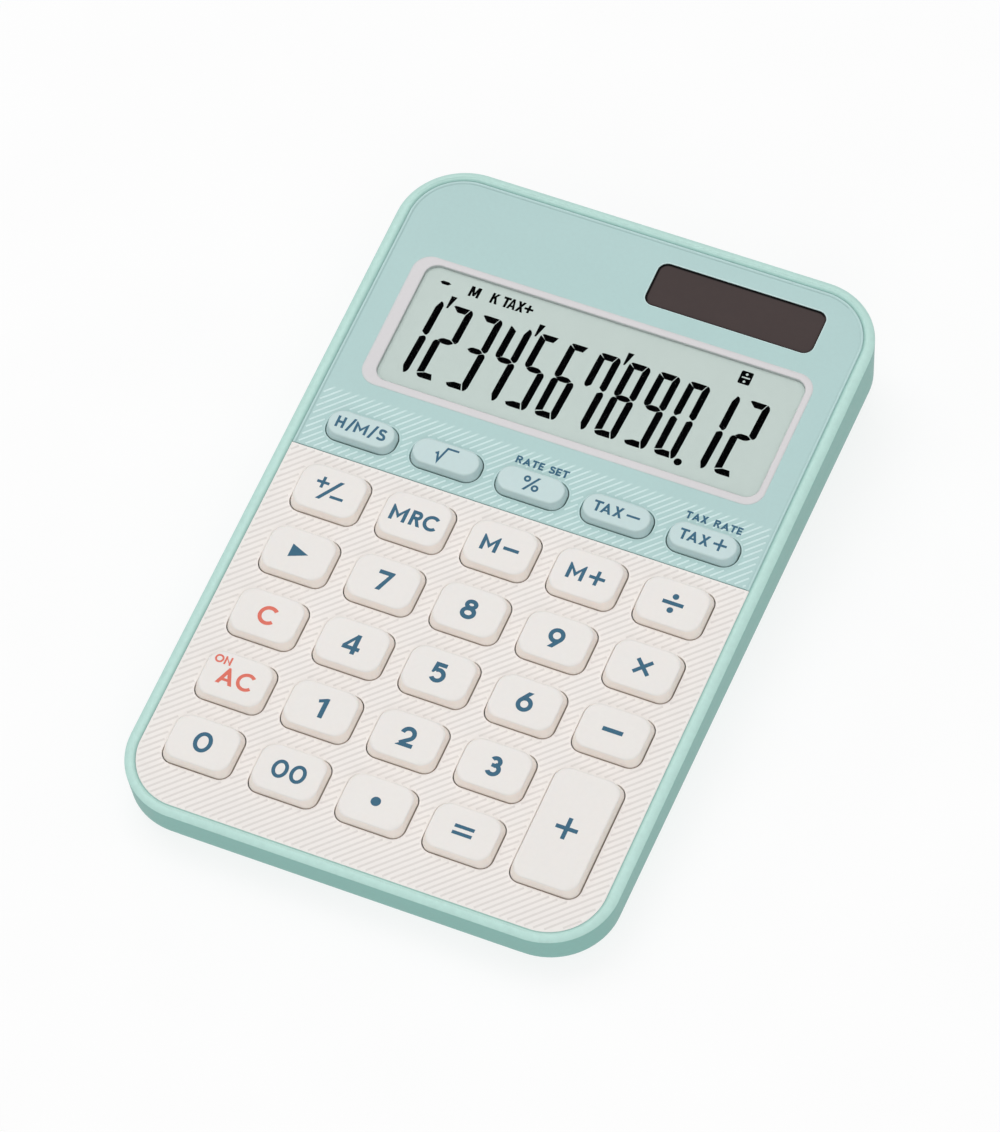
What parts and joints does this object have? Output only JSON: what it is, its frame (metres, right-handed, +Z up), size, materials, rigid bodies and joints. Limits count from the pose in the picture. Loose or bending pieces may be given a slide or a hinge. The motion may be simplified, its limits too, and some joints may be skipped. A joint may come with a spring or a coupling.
{
  "type": "desk calculator",
  "caption": "Desk calculator with a sloping rounded casing, wide display, solar strip, a row of pill-shaped function keys and a grid of soft square keys.",
  "frame": {"origin": "on the table, below the middle of the casing's outline", "axes": "+X to the right across the keys, +Y from the front edge towards the display, +Z up; the top face slopes up towards +Y by 5 degrees"},
  "size_m": [0.0976, 0.1498, 0.0227],
  "materials": {
    "mint_shell": "satin",
    "mint_face": "satin",
    "cream_face": "satin",
    "cream_key": "satin",
    "mint_key": "satin",
    "display_frame": "satin",
    "clear_window": "clear",
    "lcd_glass": "satin",
    "white_plastic": "moulded",
    "connector_rubber": "matt",
    "solar_window": "gloss",
    "solar_cell": "gloss",
    "membrane_rubber": "matt",
    "board": "lacquered",
    "chip_resin": "resin",
    "capacitor_sleeve": "sleeve",
    "screw_steel": "plated",
    "lead_red": "insulation",
    "lead_black": "insulation",
    "cell_steel": "nickel",
    "contact_metal": "nickel-plated spring",
    "foot_rubber": "matt"
  },
  "bodies": {
    "casing": {"top_case": "mint_shell", "bottom_case": "mint_shell", "display_panel": "mint_face", "keypad_panel": "cream_face", "display_frame": "display_frame", "display_window": "clear_window", "lcd_module": "lcd_glass", "lcd_bracket": "white_plastic", "lcd_connector": "connector_rubber", "solar_window": "solar_window", "solar_cell": "solar_cell", "key_membrane": "membrane_rubber", "circuit_board": "board", "logic_chip": "chip_resin", "capacitor": "capacitor_sleeve", "inner_screws": "screw_steel", "solar_lead_red": "lead_red", "solar_lead_black": "lead_black", "battery_lead_red": "lead_red", "battery_lead_black": "lead_black", "battery_cell": "cell_steel", "battery_contact_positive": "contact_metal", "battery_contact_negative": "contact_metal", "battery_cover": "mint_shell", "battery_cover_screw": "screw_steel", "case_screws": "screw_steel", "rubber_feet": "foot_rubber"},
    "key_hms": {"key_hms": "mint_key"},
    "key_root": {"key_root": "mint_key"},
    "key_percent": {"key_percent": "mint_key"},
    "key_tax_minus": {"key_tax_minus": "mint_key"},
    "key_tax_plus": {"key_tax_plus": "mint_key"},
    "key_sign": {"key_sign": "cream_key"},
    "key_memory_recall": {"key_memory_recall": "cream_key"},
    "key_memory_minus": {"key_memory_minus": "cream_key"},
    "key_memory_plus": {"key_memory_plus": "cream_key"},
    "key_divide": {"key_divide": "cream_key"},
    "key_shift": {"key_shift": "cream_key"},
    "key_7": {"key_7": "cream_key"},
    "key_8": {"key_8": "cream_key"},
    "key_9": {"key_9": "cream_key"},
    "key_multiply": {"key_multiply": "cream_key"},
    "key_clear": {"key_clear": "cream_key"},
    "key_4": {"key_4": "cream_key"},
    "key_5": {"key_5": "cream_key"},
    "key_6": {"key_6": "cream_key"},
    "key_minus": {"key_minus": "cream_key"},
    "key_all_clear": {"key_all_clear": "cream_key"},
    "key_1": {"key_1": "cream_key"},
    "key_2": {"key_2": "cream_key"},
    "key_3": {"key_3": "cream_key"},
    "key_plus": {"key_plus": "cream_key"},
    "key_0": {"key_0": "cream_key"},
    "key_00": {"key_00": "cream_key"},
    "key_point": {"key_point": "cream_key"},
    "key_equals": {"key_equals": "cream_key"}
  },
  "joints": [
    {"name": "key_hms_press", "type": "slide", "parent": "casing", "child": "key_hms", "axis": [0, 0.0872, -0.9962], "range_m": [0, 0.0012], "stiffness_N_per_m": 260, "springref_m": -0.0006},
    {"name": "key_root_press", "type": "slide", "parent": "casing", "child": "key_root", "axis": [0, 0.0872, -0.9962], "range_m": [0, 0.0012], "stiffness_N_per_m": 260, "springref_m": -0.0006},
    {"name": "key_percent_press", "type": "slide", "parent": "casing", "child": "key_percent", "axis": [0, 0.0872, -0.9962], "range_m": [0, 0.0012], "stiffness_N_per_m": 260, "springref_m": -0.0006},
    {"name": "key_tax_minus_press", "type": "slide", "parent": "casing", "child": "key_tax_minus", "axis": [0, 0.0872, -0.9962], "range_m": [0, 0.0012], "stiffness_N_per_m": 260, "springref_m": -0.0006},
    {"name": "key_tax_plus_press", "type": "slide", "parent": "casing", "child": "key_tax_plus", "axis": [0, 0.0872, -0.9962], "range_m": [0, 0.0012], "stiffness_N_per_m": 260, "springref_m": -0.0006},
    {"name": "key_sign_press", "type": "slide", "parent": "casing", "child": "key_sign", "axis": [0, 0.0872, -0.9962], "range_m": [0, 0.0012], "stiffness_N_per_m": 260, "springref_m": -0.0006},
    {"name": "key_memory_recall_press", "type": "slide", "parent": "casing", "child": "key_memory_recall", "axis": [0, 0.0872, -0.9962], "range_m": [0, 0.0012], "stiffness_N_per_m": 260, "springref_m": -0.0006},
    {"name": "key_memory_minus_press", "type": "slide", "parent": "casing", "child": "key_memory_minus", "axis": [0, 0.0872, -0.9962], "range_m": [0, 0.0012], "stiffness_N_per_m": 260, "springref_m": -0.0006},
    {"name": "key_memory_plus_press", "type": "slide", "parent": "casing", "child": "key_memory_plus", "axis": [0, 0.0872, -0.9962], "range_m": [0, 0.0012], "stiffness_N_per_m": 260, "springref_m": -0.0006},
    {"name": "key_divide_press", "type": "slide", "parent": "casing", "child": "key_divide", "axis": [0, 0.0872, -0.9962], "range_m": [0, 0.0012], "stiffness_N_per_m": 260, "springref_m": -0.0006},
    {"name": "key_shift_press", "type": "slide", "parent": "casing", "child": "key_shift", "axis": [0, 0.0872, -0.9962], "range_m": [0, 0.0012], "stiffness_N_per_m": 260, "springref_m": -0.0006},
    {"name": "key_7_press", "type": "slide", "parent": "casing", "child": "key_7", "axis": [0, 0.0872, -0.9962], "range_m": [0, 0.0012], "stiffness_N_per_m": 260, "springref_m": -0.0006},
    {"name": "key_8_press", "type": "slide", "parent": "casing", "child": "key_8", "axis": [0, 0.0872, -0.9962], "range_m": [0, 0.0012], "stiffness_N_per_m": 260, "springref_m": -0.0006},
    {"name": "key_9_press", "type": "slide", "parent": "casing", "child": "key_9", "axis": [0, 0.0872, -0.9962], "range_m": [0, 0.0012], "stiffness_N_per_m": 260, "springref_m": -0.0006},
    {"name": "key_multiply_press", "type": "slide", "parent": "casing", "child": "key_multiply", "axis": [0, 0.0872, -0.9962], "range_m": [0, 0.0012], "stiffness_N_per_m": 260, "springref_m": -0.0006},
    {"name": "key_clear_press", "type": "slide", "parent": "casing", "child": "key_clear", "axis": [0, 0.0872, -0.9962], "range_m": [0, 0.0012], "stiffness_N_per_m": 260, "springref_m": -0.0006},
    {"name": "key_4_press", "type": "slide", "parent": "casing", "child": "key_4", "axis": [0, 0.0872, -0.9962], "range_m": [0, 0.0012], "stiffness_N_per_m": 260, "springref_m": -0.0006},
    {"name": "key_5_press", "type": "slide", "parent": "casing", "child": "key_5", "axis": [0, 0.0872, -0.9962], "range_m": [0, 0.0012], "stiffness_N_per_m": 260, "springref_m": -0.0006},
    {"name": "key_6_press", "type": "slide", "parent": "casing", "child": "key_6", "axis": [0, 0.0872, -0.9962], "range_m": [0, 0.0012], "stiffness_N_per_m": 260, "springref_m": -0.0006},
    {"name": "key_minus_press", "type": "slide", "parent": "casing", "child": "key_minus", "axis": [0, 0.0872, -0.9962], "range_m": [0, 0.0012], "stiffness_N_per_m": 260, "springref_m": -0.0006},
    {"name": "key_all_clear_press", "type": "slide", "parent": "casing", "child": "key_all_clear", "axis": [0, 0.0872, -0.9962], "range_m": [0, 0.0012], "stiffness_N_per_m": 260, "springref_m": -0.0006},
    {"name": "key_1_press", "type": "slide", "parent": "casing", "child": "key_1", "axis": [0, 0.0872, -0.9962], "range_m": [0, 0.0012], "stiffness_N_per_m": 260, "springref_m": -0.0006},
    {"name": "key_2_press", "type": "slide", "parent": "casing", "child": "key_2", "axis": [0, 0.0872, -0.9962], "range_m": [0, 0.0012], "stiffness_N_per_m": 260, "springref_m": -0.0006},
    {"name": "key_3_press", "type": "slide", "parent": "casing", "child": "key_3", "axis": [0, 0.0872, -0.9962], "range_m": [0, 0.0012], "stiffness_N_per_m": 260, "springref_m": -0.0006},
    {"name": "key_plus_press", "type": "slide", "parent": "casing", "child": "key_plus", "axis": [0, 0.0872, -0.9962], "range_m": [0, 0.0012], "stiffness_N_per_m": 260, "springref_m": -0.0006},
    {"name": "key_0_press", "type": "slide", "parent": "casing", "child": "key_0", "axis": [0, 0.0872, -0.9962], "range_m": [0, 0.0012], "stiffness_N_per_m": 260, "springref_m": -0.0006},
    {"name": "key_00_press", "type": "slide", "parent": "casing", "child": "key_00", "axis": [0, 0.0872, -0.9962], "range_m": [0, 0.0012], "stiffness_N_per_m": 260, "springref_m": -0.0006},
    {"name": "key_point_press", "type": "slide", "parent": "casing", "child": "key_point", "axis": [0, 0.0872, -0.9962], "range_m": [0, 0.0012], "stiffness_N_per_m": 260, "springref_m": -0.0006},
    {"name": "key_equals_press", "type": "slide", "parent": "casing", "child": "key_equals", "axis": [0, 0.0872, -0.9962], "range_m": [0, 0.0012], "stiffness_N_per_m": 260, "springref_m": -0.0006}
  ]
}
